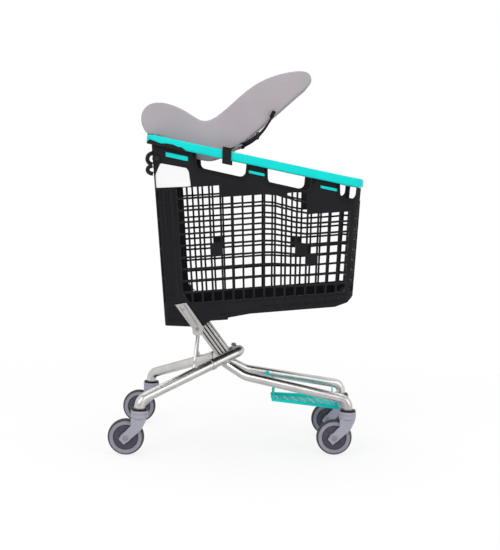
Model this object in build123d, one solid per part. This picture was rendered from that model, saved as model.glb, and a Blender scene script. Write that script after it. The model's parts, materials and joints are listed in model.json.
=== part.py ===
from build123d import *
import os
from math import atan2, cos, sin

# A self-service shopping cart: steel tube chassis on four swivel castors, moulded basket with
# grid walls and a swinging rear gate, handle rim, lower tray and a strapped-on infant seat.
# Frame: +X to the front, +Y to the left, +Z up, floor at Z = 0.  Millimetres.

# Overall places
LENGTH = 857.0  # rear tyre to the front castor neck
REAR_TRACK = 517.0  # between the rear swivel axes
FRONT_TRACK = 302.0  # between the front swivel axes

# Castors
WHEEL_D = 125.0
WHEEL_W = 30.0
TYRE_T = 6.5
HUB_RING_T = 12.5
CASTOR_TRAIL = 44.0
SWIVEL_H = 36.5  # top of the wheel to the top of the swivel seal
SEAL_T = 5.5
SEAL_R = 27.5
NECK_R = 29.5
FORK_GAP = 36.0
FORK_ARM_T = 5.0
FORK_ARM_W = 28.0
FORK_ARM_TAIL = 20.0  # arm length past the axle
AXLE_R = 6.0
PIN_R = 8.0
PIN_HEAD_R = 11.0
RUNNING_GAP = 0.05  # radial, shaft in its hole
SOFT_GAP = 0.3  # between surfaces that must not touch
BEARING_R = 14.0
BEARING_W = 8.0

# Chassis tubes
REAR_TUBE_R = 18.0
FRONT_TUBE_R = 16.5
TUBE_WALL = 2.0
YOKE_APEX_X = 42.0
YOKE_APEX_Z = 347.0
YOKE_BEND = 40.0
REAR_LEG_RISE = 29.5  # swivel seal to the corner of the leg above it
COLLAR_SHARE = 0.34  # place of the collar from the apex to the castor
COLLAR_T = 2.5
COLLAR_W = 12.0
FRONT_LEG_START = (-40.0, 44.0, 294.0)
FRONT_LEG_KNEE = (35.0, 76.0, 254.0)
FRONT_LEG_RISE = 34.5
KNEE_BEND = 90.0
CASTOR_BEND = 32.0
MAST_DEPTH = 50.0
MAST_WIDTH = 60.0
MAST_WALL = 4.0
MAST_TOP = (-125.0, 425.0)
MAST_FOOT = (-30.0, 303.0)
HEAD_BAR = (34.0, 28.0)  # section along X and along Z
HEAD_BAR_X = -135.0
ARM_W = 32.0
ARM_T = 6.0
ARM_TOP = (-197.0, 519.0)
STRUT_R = 5.0
STRUT_TOP_Y = 70.0
STRUT_FOOT_X = -148.0

# Basket
BASKET_LOW_Z = 430.0
BASKET_HIGH_Z = 1080.0
BASKET_REAR = (-248.0, -316.0)  # X at the low and the high level
BASKET_FRONT = (390.5, 410.5)
BASKET_HALF = (191.5, 218.5)
CORNER_REAR_R = 14.0
CORNER_FRONT_R = 24.0
BASKET_WALL = 5.0
FLOOR_T = 5.0
FLOOR_REAR_Z = 440.0
TUB_TOP_Z = 537.0  # top edge of the tub at X = 0
TUB_SLOPE = 0.11
FLOOR_STEP = ((-120.0, 440.0), (-95.0, 462.0))
FLOOR_FRONT = ((43.0, 493.0), (334.0, 528.0), (375.0, 545.0), (396.0, 570.0))
SPLIT_X = 370.0  # side walls end and the front wall begins
GRID_X = -190.0
GRID_PITCH = 34.9
GRID_BAR = 7.0
GRID_ROWS = (40.2, 35.6)  # height of a row of holes in the rear part and in the front part
GRID_ROW_TURN = (90.0, 240.0)  # X between which one height runs into the other
GRID_TOPS = [402.0] * 4 + [361.8] * 8 + [284.8] * 4  # height of each column above the tub
GRID_LEAST = 18.0  # height of the lowest row worth cutting
GRID_SOLID = [(3, 4), (11, 4), (12, 3)]
FRONT_COLUMNS = 9
FRONT_GRIP_DROP = 42.0
FRONT_POST = 14.0
LEAN_REAR = -0.094  # sideways run of a grid bar for its height, at the rear and at the front
LEAN_FRONT = 0.0175

# Rim
RIM_Z = 1023.0  # middle of the band at X = 0
RIM_SLOPE = -0.172
RIM_H = 30.0
RIM_W = 36.0
RIM_REAR = -330.0
RIM_FRONT = 412.0
RIM_HALF = 245.0
HAND_HOLES = ((-162.0, 12.0, 50.0), (82.0, 234.0, 48.0), (330.0, 388.0, 45.0))
INSERTS = ((-265.0, -187.0, 17.0, 17.0), (18.0, 74.0, 19.0, 11.0), (264.0, 322.0, 18.0, 11.0))
TRIM_T = 2.0
LABEL_R = 7.0

# Rear gate
HINGE_Z = 1012.0
HINGE_INSET = 15.0
HINGE_R = 8.0
HINGE_PIN_R = 4.0
HINGE_HEAD_R = 9.0
GATE_T = 4.0
GATE_BOTTOM_Z = 507.0
GATE_SIDE_GAP = 5.0
GATE_PITCH = 42.0

# Lower tray
TRAY_X = (134.0, 372.0)
TRAY_HALF = (58.0, 100.0)
TRAY_Z = (163.0, 151.0)
TRAY_DEPTH = 9.0
TRAY_WALL = 3.0
TRAY_SLOTS = 7
TRAY_SLOT_W = 5.0
TRAY_SLOT_TURN = 12.0
WIRE_R = 2.5

# Infant seat
SEAT_HALF = 185.0
SEAT_WALL = 25.0
LINER_T = 15.0
STRAP_W = 24.0
STRAP_T = 2.0
BRACKET_X = -57.0
BRACKET_W = 30.0
BRACKET_T = 4.0
BRACKET_DROP = 16.0  # below the rim
BRACKET_EAR = 12.0  # above the rim
BUCKLE = (44.0, 40.0, 15.0)
BUCKLE_S = 66.0  # middle of the buckle up the seat back
BUTTON = (16.0, 12.0)
BUTTON_TRAVEL = 3.0

# Worked out from the values above
WHEEL_R = WHEEL_D / 2
CASTOR_H = WHEEL_D + SWIVEL_H
REAR_LEG_Z = CASTOR_H + REAR_LEG_RISE
FRONT_LEG_Z = CASTOR_H + FRONT_LEG_RISE
REAR_X = -LENGTH / 2 + WHEEL_R + CASTOR_TRAIL
FRONT_X = LENGTH / 2 - NECK_R
FORK_HALF = FORK_GAP / 2 + FORK_ARM_T
FORK_TOP = CASTOR_H - SEAL_T - SOFT_GAP
NECK_FLOOR = WHEEL_D + 6
CASTORS = {
    "rear_left": (REAR_X, REAR_TRACK / 2, REAR_TUBE_R),
    "rear_right": (REAR_X, -REAR_TRACK / 2, REAR_TUBE_R),
    "front_left": (FRONT_X, FRONT_TRACK / 2, FRONT_TUBE_R),
    "front_right": (FRONT_X, -FRONT_TRACK / 2, FRONT_TUBE_R),
}
BIG = 2000.0


def save(name, *shapes):
    """Write one node; several shapes stay separate solids of it."""
    solids = [solid for shape in shapes for solid in shape.solids()]
    export_step(solids[0] if len(solids) == 1 else Compound(children=solids), f"parts/{name}.step")


def cyl_y(r, y0, y1, x=0.0, z=0.0):
    return Pos(x, (y0 + y1) / 2, z) * Rot(90, 0, 0) * Cylinder(r, abs(y1 - y0))


def cyl_z(r, z0, z1, x=0.0, y=0.0):
    return Pos(x, y, (z0 + z1) / 2) * Cylinder(r, z1 - z0)


def ring_y(r_out, r_in, y0, y1):
    return cyl_y(r_out, y0, y1) - cyl_y(r_in, y0 - 1, y1 + 1)


def block(x0, x1, y0, y1, z0, z1):
    return Pos((x0 + x1) / 2, (y0 + y1) / 2, (z0 + z1) / 2) * Box(x1 - x0, y1 - y0, z1 - z0)


def slab(points, y0=-BIG, y1=BIG):
    """Prism of an outline given in X and Z, running along Y."""
    face = make_face(Polyline(*[(x, 0, z) for x, z in points], close=True))
    return Pos(0, y0, 0) * extrude(face, y1 - y0, dir=(0, 1, 0))


def both_sides(shape):
    return [shape, mirror(shape, about=Plane.XZ)]


def rod(start, end, r):
    line = Line(start, end)
    return sweep(Plane(origin=start, z_dir=line % 0) * Circle(r), path=line)


def bent_rod(points, bends, r):
    path = FilletPolyline(*points, radius=bends)
    return sweep(Plane(origin=path @ 0, z_dir=path % 0) * Circle(r), path=path)


# ---------------------------------------------------------------- castors
def tyre():
    hub_r, half = WHEEL_R - TYRE_T, WHEEL_W / 2
    shoulder = WHEEL_R - TYRE_T * 0.55
    outline = [
        Polyline((shoulder, half), (hub_r, half), (hub_r, -half), (shoulder, -half)),
        ThreePointArc((shoulder, -half), (WHEEL_R, 0), (shoulder, half)),
    ]
    return revolve(make_face(outline), Axis.Y)


def wheel_hub():
    ring_out = WHEEL_R - TYRE_T
    ring_in = ring_out - HUB_RING_T
    boss_r = BEARING_R + 4
    ring = ring_y(ring_out, ring_in, -WHEEL_W / 2 + 0.5, WHEEL_W / 2 - 0.5)
    web = ring_y(ring_in, boss_r, -4, 4)
    return ring + web + ring_y(boss_r, BEARING_R, -WHEEL_W / 2 - 1, WHEEL_W / 2 + 1)


def hub_covers():
    ring_in = WHEEL_R - TYRE_T - HUB_RING_T
    return both_sides(ring_y(ring_in, BEARING_R + 4, WHEEL_W / 2 - 6, WHEEL_W / 2 - 3))


def bearings():
    end = WHEEL_W / 2
    return both_sides(ring_y(BEARING_R, AXLE_R + RUNNING_GAP, end - BEARING_W, end))


def axle():
    head = cyl_y(AXLE_R + 2, FORK_HALF, FORK_HALF + 1.5)
    return cyl_y(AXLE_R, -FORK_HALF, FORK_HALF) + both_sides(head)


def fork():
    """Swivel neck with two arms that lean back to the axle; swivel axis at X = 0."""
    def on_arm(along, across):
        return (-CASTOR_TRAIL + (along - across) * cos_arm, WHEEL_R + (along + across) * cos_arm)

    cos_arm = 0.5 ** 0.5
    half = FORK_ARM_W / 2
    outline = [
        (-NECK_R + 1.5, NECK_FLOOR + 9),
        (-NECK_R + 2.5, NECK_FLOOR - 27),
        on_arm(-FORK_ARM_TAIL, half),
        on_arm(-FORK_ARM_TAIL, -half),
        on_arm(CASTOR_TRAIL * 1.3, -half * 1.25),
        (NECK_R - 5.5, NECK_FLOOR - 8),
        (NECK_R - 1.5, NECK_FLOOR + 9),
    ]
    arms = slab(outline, -FORK_HALF, FORK_HALF)
    tail = [e for e in arms.edges().filter_by(Axis.Y) if e.center().X < -CASTOR_TRAIL - 8]
    arms = fillet(tail, 6)
    arms &= cyl_z(NECK_R, NECK_FLOOR - 40, FORK_TOP) + block(-BIG, BIG, -BIG, BIG, 0, NECK_FLOOR)
    neck = cyl_z(NECK_R, NECK_FLOOR, FORK_TOP) + arms
    groove = cyl_z(NECK_R + 1, FORK_TOP - 12, FORK_TOP - 10) - cyl_z(NECK_R - 1, 0, BIG)
    slot = block(-BIG, BIG, -FORK_GAP / 2, FORK_GAP / 2, 0, NECK_FLOOR)
    pin_hole = cyl_z(PIN_R + RUNNING_GAP, 0, BIG)
    head_hole = cyl_z(PIN_HEAD_R + SOFT_GAP, 0, NECK_FLOOR + 5 + SOFT_GAP)
    axle_hole = cyl_y(AXLE_R, -BIG, BIG, -CASTOR_TRAIL, WHEEL_R)
    return neck - groove - slot - pin_hole - head_hole - axle_hole


def swivel_pin(tube_r):
    head = cyl_z(PIN_HEAD_R, NECK_FLOOR, NECK_FLOOR + 5)
    plug = cyl_z(tube_r - TUBE_WALL, CASTOR_H, CASTOR_H + 6)
    return cyl_z(PIN_R, NECK_FLOOR, CASTOR_H) + head + plug


def swivel_seal():
    return cyl_z(SEAL_R, CASTOR_H - SEAL_T, CASTOR_H) - cyl_z(PIN_R, 0, BIG)


def make_castors():
    at_wheel = Pos(-CASTOR_TRAIL, 0, WHEEL_R)
    for name, (x, y, _) in CASTORS.items():
        place = Pos(x, y, 0)
        save(f"{name}_fork", place * fork())
        save(f"{name}_axle", place * at_wheel * axle())
        save(f"{name}_hub", place * at_wheel * wheel_hub())
        save(f"{name}_tyre", place * at_wheel * tyre())
        save(f"{name}_hub_covers", *[place * at_wheel * part for part in hub_covers()])
        save(f"{name}_bearings", *[place * at_wheel * part for part in bearings()])
    save("swivel_pins", *[Pos(x, y, 0) * swivel_pin(r) for x, y, r in CASTORS.values()])
    save("swivel_seals", *[Pos(x, y, 0) * swivel_seal() for x, y, r in CASTORS.values()])


# ---------------------------------------------------------------- chassis
def rear_corner():
    return Vector(REAR_X, REAR_TRACK / 2, REAR_LEG_Z)


def yoke_apex():
    return Vector(YOKE_APEX_X, 0, YOKE_APEX_Z)


def collar_place():
    return yoke_apex() + (rear_corner() - yoke_apex()) * COLLAR_SHARE


def rear_leg(r):
    foot = (REAR_X, REAR_TRACK / 2, CASTOR_H)
    return bent_rod([foot, rear_corner(), collar_place()], CASTOR_BEND, r)


def yoke(r):
    left = collar_place()
    return bent_rod([left, yoke_apex(), Vector(left.X, -left.Y, left.Z)], YOKE_BEND, r)


def collar():
    along = Plane(origin=collar_place(), z_dir=rear_corner() - yoke_apex())
    section = Circle(REAR_TUBE_R + COLLAR_T) - Circle(REAR_TUBE_R)
    return extrude(along * section, COLLAR_W / 2, both=True)


def front_leg(r):
    knee = Vector(*FRONT_LEG_KNEE)
    corner = (FRONT_X, FRONT_TRACK / 2, FRONT_LEG_Z)
    foot = (FRONT_X, FRONT_TRACK / 2, CASTOR_H)
    return bent_rod([FRONT_LEG_START, knee, corner, foot], [KNEE_BEND, CASTOR_BEND], r)


def mast_frame():
    top, foot = Vector(MAST_TOP[0], 0, MAST_TOP[1]), Vector(MAST_FOOT[0], 0, MAST_FOOT[1])
    return Plane(origin=top, x_dir=(0, 1, 0), z_dir=foot - top), (foot - top).length


def mast(filled=False):
    frame, length = mast_frame()
    outer = RectangleRounded(MAST_WIDTH, MAST_DEPTH, 7)
    if filled:
        return extrude(frame * outer, length)
    hollow = RectangleRounded(MAST_WIDTH - 2 * MAST_WALL, MAST_DEPTH - 2 * MAST_WALL, 4)
    grooves = Sketch()
    for step in (-1, 0, 1):
        for side in (-1, 1):
            grooves += Pos(side * MAST_WIDTH / 2, step * MAST_DEPTH / 4) * Rectangle(3, 5)
            grooves += Pos(step * MAST_WIDTH / 4, side * MAST_DEPTH / 2) * Rectangle(6, 3)
    return extrude(frame * (outer - hollow - grooves), length)


def head_bar(wall=None):
    top = FLOOR_REAR_Z - SOFT_GAP
    width, height = HEAD_BAR
    centre = Plane(origin=(HEAD_BAR_X, 0, top - height / 2), x_dir=(1, 0, 0), z_dir=(0, 1, 0))
    section = RectangleRounded(width, height, 8)
    if wall:
        section -= RectangleRounded(width - 2 * wall, height - 2 * wall, 8 - wall)
    return extrude(centre * section, arm_inner_y(), both=True)


def basket_half(z):
    share = (z - BASKET_LOW_Z) / (BASKET_HIGH_Z - BASKET_LOW_Z)
    return BASKET_HALF[0] + share * (BASKET_HALF[1] - BASKET_HALF[0])


def arm_inner_y():
    return basket_half(ARM_TOP[1] + 10) + 1


def arm_outline():
    """Flat bar that leans down from the tub side to the end of the head bar."""
    width, height = HEAD_BAR
    x0, x1 = HEAD_BAR_X - width / 2, HEAD_BAR_X + width / 2
    low = FLOOR_REAR_Z - height - SOFT_GAP
    top_x, top_z = ARM_TOP
    half = ARM_W * 0.6
    return [
        (top_x - half, top_z - 4), (top_x + half, top_z + 4), (x1 + 2, low + height * 1.05),
        (x1 - 2, low + 5), (x1 - 8, low), (x0 + 8, low), (x0 - 1, low + 9), (x0 - 2, low + height * 0.85),
    ]


def carrier_arm():
    bar = slab(arm_outline(), arm_inner_y(), arm_inner_y() + ARM_T)
    top_x, top_z = ARM_TOP
    low_x, low_z = HEAD_BAR_X, FLOOR_REAR_Z - HEAD_BAR[1] / 2
    lean = Vector(low_x - top_x, 0, low_z - top_z)
    rib = Plane(origin=(top_x, arm_inner_y() + ARM_T, top_z), x_dir=lean, z_dir=(0, 1, 0))
    length = lean.length
    strip = Pos(length * 0.45, 0) * SlotOverall(length * 0.8, 14)
    return bar + extrude(rib * strip, 2)


def strut(legs):
    """Thin stay from the head bar to the rear leg, with a small gusset at its foot."""
    share = (STRUT_FOOT_X - YOKE_APEX_X) / (REAR_X - YOKE_APEX_X)
    foot = yoke_apex() + (rear_corner() - yoke_apex()) * share
    top = Vector(HEAD_BAR_X - 4, STRUT_TOP_Y, FLOOR_REAR_Z - HEAD_BAR[1] - SOFT_GAP + 4)
    stay = rod(top, foot, STRUT_R)
    gusset = [(foot.X, foot.Z + 44), (foot.X + 6, foot.Z + 44), (foot.X + 28, foot.Z), (foot.X, foot.Z)]
    plate = slab(gusset, foot.Y - 2, foot.Y + 2)
    low = foot + (top - foot) * 0.16
    plate = Pos(0, low.Y - foot.Y, 0) * plate
    return (stay + plate) - legs - head_bar()


def yoke_bolts():
    """Two hex bolts through the rounded tip of the yoke."""
    bolts = []
    for x, y, z in yoke_bolt_places():
        shank = cyl_z(4, z - 2 * REAR_TUBE_R - 4, z, x, y)
        washer = cyl_z(10, z, z + 2, x, y)
        head = Pos(x, y, z + 2) * extrude(RegularPolygon(8.5, 6), 6)
        nut = Pos(x, y, z - 2 * REAR_TUBE_R - 8) * extrude(RegularPolygon(8.5, 6), 6)
        bolts.append(shank + washer + head + nut)
    return bolts


def yoke_bolt_places():
    slope = (YOKE_APEX_Z - REAR_LEG_Z) / (YOKE_APEX_X - REAR_X)
    plan = (REAR_TRACK / 2) / (YOKE_APEX_X - REAR_X)
    x = YOKE_APEX_X - 52
    y = (YOKE_APEX_X - x) * plan
    z = YOKE_APEX_Z + (x - YOKE_APEX_X) * slope + REAR_TUBE_R + 3.5
    return [(x, y, z), (x, -y, z)]


def make_chassis():
    inner_rear, inner_front = REAR_TUBE_R - TUBE_WALL, FRONT_TUBE_R - TUBE_WALL
    yoke_full = yoke(REAR_TUBE_R)
    bolts = yoke_bolts()
    yoke_tube = yoke_full - yoke(inner_rear)
    for bolt in bolts:
        box = bolt.bounding_box()
        seat_z = box.max.Z - 8
        x, y = box.center().X, box.center().Y
        yoke_tube -= cyl_z(11, seat_z, seat_z + 30, x, y) + cyl_z(4, seat_z - 60, seat_z + 1, x, y)
        yoke_tube -= cyl_z(10, seat_z - 80, seat_z - 2 * REAR_TUBE_R - 2, x, y)
    leg_full = rear_leg(REAR_TUBE_R)
    leg = leg_full - rear_leg(inner_rear)
    mast_full = mast(filled=True)
    bar_full = head_bar()
    mast_tube = mast() - yoke_full - bar_full
    mast_tube = mast_tube.solids().sort_by(SortBy.VOLUME)[-1]
    front = front_leg(FRONT_TUBE_R) - front_leg(inner_front) - yoke_full - mast_full
    front = front.solids().sort_by(SortBy.VOLUME)[-1]
    save("rear_leg_left", leg)
    save("rear_leg_right", mirror(leg, about=Plane.XZ))
    save("yoke_tube", yoke_tube)
    save("leg_collars", *both_sides(collar()))
    save("front_leg_left", front)
    save("front_leg_right", mirror(front, about=Plane.XZ))
    save("mast", mast_tube)
    save("head_bar", head_bar(wall=3))
    save("carrier_arm_left", carrier_arm())
    save("carrier_arm_right", mirror(carrier_arm(), about=Plane.XZ))
    save("mast_struts", *both_sides(strut(leg_full)))
    save("yoke_bolts", *bolts)


# ---------------------------------------------------------------- basket
def plan_outline(level, grow):
    x0, x1 = BASKET_REAR[level] - grow, BASKET_FRONT[level] + grow
    half = BASKET_HALF[level] + grow
    z = (BASKET_LOW_Z, BASKET_HIGH_Z)[level]
    rear, front = CORNER_REAR_R + grow, CORNER_FRONT_R + grow
    corners = [(x0, -half), (x1, -half), (x1, half), (x0, half)]
    edges = FilletPolyline(*corners, radius=[rear, front, front, rear], close=True)
    return Pos(0, 0, z) * make_face(edges)


def basket_body(grow=0.0):
    """The tapered box whose surface the walls follow."""
    return loft([plan_outline(0, grow), plan_outline(1, grow)], ruled=True)


def tub_top(x):
    return TUB_TOP_Z + TUB_SLOPE * x


def rim_middle(x):
    return RIM_Z + RIM_SLOPE * x


def rim_bottom(x):
    return rim_middle(x) - RIM_H / 2


def rim_top(x):
    return rim_middle(x) + RIM_H / 2


def rear_x(z):
    share = (z - BASKET_LOW_Z) / (BASKET_HIGH_Z - BASKET_LOW_Z)
    return BASKET_REAR[0] + share * (BASKET_REAR[1] - BASKET_REAR[0])


def front_x(z):
    share = (z - BASKET_LOW_Z) / (BASKET_HIGH_Z - BASKET_LOW_Z)
    return BASKET_FRONT[0] + share * (BASKET_FRONT[1] - BASKET_FRONT[0])


def tub_region(lift, high):
    """Side outline of the tub, with its floor lifted; the top stays open when high is set."""
    ends = -400, 500
    floor = [(ends[0], FLOOR_REAR_Z)] + list(FLOOR_STEP) + list(FLOOR_FRONT)
    top = [(ends[1], tub_top(ends[1]) + high), (ends[0], tub_top(ends[0]) + high)]
    nose = [(ends[1], FLOOR_FRONT[-1][1])]
    return slab([(x, z + lift) for x, z in floor + nose] + top)


def basket_tub(outer, inner):
    tub = outer & tub_region(0, 0)
    tub -= inner & tub_region(FLOOR_T, 60)
    pad = slab(arm_outline(), BASKET_HALF[0] + 1, arm_inner_y())
    pad &= block(-BIG, BIG, 0, BIG, FLOOR_REAR_Z, BIG) & tub_region(0, 0)
    for side in both_sides(pad - inner):
        tub += side
    return tub


def row_height(x):
    start, end = GRID_ROW_TURN
    share = min(1.0, max(0.0, (x - start) / (end - start)))
    return GRID_ROWS[0] + (GRID_ROWS[1] - GRID_ROWS[0]) * share * share * (3 - 2 * share)


def grid_point(x, height):
    share = (x - GRID_X) / (SPLIT_X - GRID_X)
    lean = LEAN_REAR + share * (LEAN_FRONT - LEAN_REAR)
    return x + lean * height, tub_top(x) + height


def grid_cell(column, row):
    """One hole of the side grid; its top stops at the solid band above the column."""
    half, top = GRID_BAR / 2, GRID_TOPS[column]
    cut = 0.55 * GRID_PITCH if (column, row) == (0, 0) else 0
    x0 = GRID_X + GRID_PITCH * column
    x1 = x0 + GRID_PITCH
    (ax, az), (bx, bz) = [grid_point(x, row_height(x) * row) for x in (x0, x1)]
    (dx, dz), (cx, cz) = [grid_point(x, min(top, row_height(x) * (row + 1))) for x in (x0, x1)]
    corners = [(ax + half + cut, az), (bx - half, bz), (cx - half, cz), (dx + half, dz)]
    lift = [half, half, -half, -half]
    return slab([(x, z + rise) for (x, z), rise in zip(corners, lift)])


def side_cells():
    cells = []
    for column, top in enumerate(GRID_TOPS):
        x0 = GRID_X + GRID_PITCH * column
        tallest = max(row_height(x0), row_height(x0 + GRID_PITCH))
        rows = int((top - GRID_LEAST) / tallest) + 1
        for row in range(rows):
            if (column, row) not in GRID_SOLID:
                cells.append(grid_cell(column, row))
    return cells


def hand_hole(x0, x1, depth):
    """Opening below the rim with two rounded lower corners."""
    low0, low1 = rim_bottom(x0) - depth, rim_bottom(x1) - depth
    high = RIM_H / 2
    hole = slab([(x0, rim_bottom(x0) + high), (x0 + 4, low0), (x1 - 4, low1), (x1, rim_bottom(x1) + high)])
    lower = [e for e in hole.edges().filter_by(Axis.Y) if e.center().Z < rim_bottom(x0) - depth / 2]
    return fillet(lower, min(20, (x1 - x0) * 0.35))


def wall_region(x0, x1):
    """Between the tub's top edge and the underside of the rim."""
    return slab([(x0, tub_top(x0)), (x1, tub_top(x1)), (x1, rim_bottom(x1)), (x0, rim_bottom(x0))])


def gate_opening():
    """Cut through the rear wall that leaves a narrow post at each side."""
    half = BASKET_HALF[0] - BASKET_WALL - 12
    return block(-BIG, BASKET_REAR[0] + 20, -half, half, 0, BIG)


def corner_frame(skin):
    """Raised border on the solid rear corner of the side wall."""
    low, high = tub_top(GRID_X) + 18, rim_bottom(GRID_X) - 172
    inset, width = 10, 5
    right_low = GRID_X - 14
    right_high = right_low + LEAN_REAR * (high - low)
    outer = [(rear_x(low) + inset, low), (right_low, low), (right_high, high), (rear_x(high) + inset, high)]
    inner = [
        (outer[0][0] + width, low + width), (right_low - width, low + width),
        (right_high - width, high - width), (outer[3][0] + width, high - width),
    ]
    return (slab(outer) - slab(inner)) & skin


def side_wall(shell, skin, cells, holes):
    wall = shell & wall_region(-BIG / 4, SPLIT_X) & block(-BIG, BIG, 0, BIG, 0, BIG)
    wall += corner_frame(skin) & block(-BIG, BIG, 0, BIG, 0, BIG)
    wall = wall - cells - holes - gate_opening()
    hinge = cyl_y(HINGE_PIN_R, 0, BIG, hinge_x(), HINGE_Z)
    return (wall - hinge).solids().sort_by(SortBy.VOLUME)[-1]


def front_cells():
    """Rows of holes across the front wall and round both corners."""
    cells = []
    row_h = row_height(SPLIT_X)
    high = row_h - GRID_BAR
    flat = BASKET_HALF[0] - CORNER_FRONT_R
    pitch = 2 * flat / FRONT_COLUMNS
    for row in range(int(GRID_TOPS[-1] / row_h)):
        z = tub_top(front_x(TUB_TOP_Z)) + row_h * (row + 0.5)
        x = front_x(z)
        for column in range(FRONT_COLUMNS):
            y = -flat + pitch * (column + 0.5)
            cells.append(Pos(x, y, z) * Box(40, pitch - GRID_BAR, high))
        corner = Pos(x - CORNER_FRONT_R, basket_half(z) - CORNER_FRONT_R, z) * Rot(0, 0, 45)
        hole = corner * Pos(CORNER_FRONT_R, 0, 0) * Box(CORNER_FRONT_R, CORNER_FRONT_R * 0.9, high)
        cells += both_sides(hole)
    return cells


def front_wall(shell, holes):
    """Front wall with a full-width grip below the rim, between two corner posts."""
    wall = shell & wall_region(SPLIT_X, BIG / 4)
    z = rim_bottom(front_x(RIM_Z))
    half = basket_half(z) - FRONT_POST
    grip = block(SPLIT_X, BIG, -half, half, z - FRONT_GRIP_DROP, z + RIM_H)
    return wall - front_cells() - holes - grip


def rim_ring():
    def outline(grow):
        x0, x1, half = RIM_REAR + grow, RIM_FRONT - grow, RIM_HALF - grow
        corners = [(x0, -half), (x1, -half), (x1, half), (x0, half)]
        rear, front = 30 - grow / 2, 58 - grow
        return make_face(FilletPolyline(*corners, radius=[rear, front, front, rear], close=True))

    ring = extrude(outline(0) - outline(RIM_W), BIG)
    x0, x1 = RIM_REAR - 10, RIM_FRONT + 10
    band = [(x0, rim_bottom(x0)), (x1, rim_bottom(x1)), (x1, rim_top(x1)), (x0, rim_top(x0))]
    return ring & slab(band)


def trim_outline(x0, x1, drop, height):
    return [
        (x0, rim_bottom(x0) - drop), (x1, rim_bottom(x1) - drop),
        (x1, rim_bottom(x1) - drop - height), (x0, rim_bottom(x0) - drop - height),
    ]


def label_outline():
    x0, x1 = rear_x(998) + 26, rear_x(998) + 124
    return [
        (x0, 998), (x1 - 8, 985), (x1, 974), (x1 + 9, 922), (rear_x(912) + 4, 912), (rear_x(955) + 5, 957),
    ]


def skids():
    """Runners and two cross feet under the tub, cut to follow its floor."""
    runner = slab([(-60, 466), (61, 488), (322, 518), (312, 545), (61, 515), (-60, 485)], 94, 106)
    foot = slab([(-92, 449), (-34, 455), (-28, 500), (-98, 500)], 55, 85)
    floor = list(FLOOR_STEP) + list(FLOOR_FRONT)
    under = [(500, 0), (500, FLOOR_FRONT[-1][1])] + floor[::-1] + [(-400, FLOOR_REAR_Z), (-400, 0)]
    parts = []
    for piece in (runner, foot):
        parts += both_sides(piece & slab(under))
    return parts


def make_basket():
    outer, inner = basket_body(), basket_body(-BASKET_WALL)
    shell = outer - inner
    skin = basket_body(TRIM_T) - outer
    cells = side_cells()
    holes = [hand_hole(*hole) for hole in HAND_HOLES]
    wall = side_wall(shell, skin, cells, holes)
    save("basket_tub", basket_tub(outer, inner))
    save("basket_side_left", wall)
    save("basket_side_right", mirror(wall, about=Plane.XZ))
    save("basket_front", front_wall(shell, holes))
    save("rim", rim_ring())
    left_skin = skin & block(-BIG, BIG, 0, BIG, 0, BIG)
    inserts = [slab(trim_outline(*spec)) & left_skin for spec in INSERTS]
    save("rim_inserts", *[side for piece in inserts for side in both_sides(piece)])
    label = slab(label_outline())
    label = fillet(label.edges().filter_by(Axis.Y), LABEL_R)
    save("label_plates", *both_sides(label & left_skin))
    save("basket_skids", *skids())


# ---------------------------------------------------------------- rear gate
def hinge_x():
    return rear_x(HINGE_Z) + HINGE_INSET


def gate_bottom_x():
    return rear_x(GATE_BOTTOM_Z) + BASKET_WALL + SOFT_GAP + GATE_T / 2 + 2.5


def rear_gate():
    """Grid panel that hangs from a barrel; it swings forward and up into the basket."""
    top, low = (hinge_x(), HINGE_Z), (gate_bottom_x(), GATE_BOTTOM_Z)
    half = GATE_T / 2
    inside = BASKET_WALL + GATE_SIDE_GAP
    sides = [(top[0] - half, top[1]), (top[0] + half, top[1]), (low[0] + half, low[1])]
    plate = slab(sides + [(low[0] - half, low[1])])
    top_y, low_y = basket_half(HINGE_Z) - inside, basket_half(GATE_BOTTOM_Z) - inside
    corners = [(top_y, HINGE_Z), (low_y, GATE_BOTTOM_Z), (-low_y, GATE_BOTTOM_Z), (-top_y, HINGE_Z)]
    outline = Polyline(*corners, close=True)
    trapeze = extrude(Plane.YZ * make_face(outline), BIG, both=True)
    gate = plate & trapeze
    columns = 9
    rows = int((HINGE_Z - GATE_BOTTOM_Z - 50) / GATE_PITCH)
    pitch_y = 2 * (low_y - 12) / columns
    cells = []
    for row in range(rows):
        z = GATE_BOTTOM_Z + 18 + GATE_PITCH * (row + 0.5)
        x = top[0] + (low[0] - top[0]) * (HINGE_Z - z) / (HINGE_Z - GATE_BOTTOM_Z)
        for column in range(columns):
            y = -low_y + 12 + pitch_y * (column + 0.5)
            cells.append(Pos(x, y, z) * Box(20, pitch_y - GRID_BAR, GATE_PITCH - GRID_BAR))
    barrel = cyl_y(HINGE_R, -top_y, top_y, *top)
    gate = gate - cells + barrel
    for side in (-1, 1):
        gate -= cyl_y(HINGE_PIN_R + RUNNING_GAP, side * (top_y - 26), side * (top_y + 2), *top)
    return gate


def gate_pin():
    inside = basket_half(HINGE_Z) - BASKET_WALL - GATE_SIDE_GAP - 25
    face = basket_half(HINGE_Z + HINGE_R)
    head = cyl_y(HINGE_HEAD_R, face, face + 3, hinge_x(), HINGE_Z)
    return cyl_y(HINGE_PIN_R, inside, face, hinge_x(), HINGE_Z) + head


# ---------------------------------------------------------------- lower tray
def tray_solid(grow):
    """Tapered tray body; grow is negative for its inside."""
    low = -grow
    x0, x1 = TRAY_X[0] - grow, TRAY_X[1] + grow
    high = TRAY_DEPTH + 2 * low
    lower = [(x0, TRAY_Z[0] + low), (x1, TRAY_Z[1] + low)]
    side = slab(lower + [(x1, TRAY_Z[1] + high), (x0, TRAY_Z[0] + high)])
    half0, half1 = TRAY_HALF[0] + grow, TRAY_HALF[1] + grow
    corners = [(x0, -half0), (x1, -half1), (x1, half1), (x0, half0)]
    return side & extrude(make_face(Polyline(*corners, close=True)), BIG)


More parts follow.
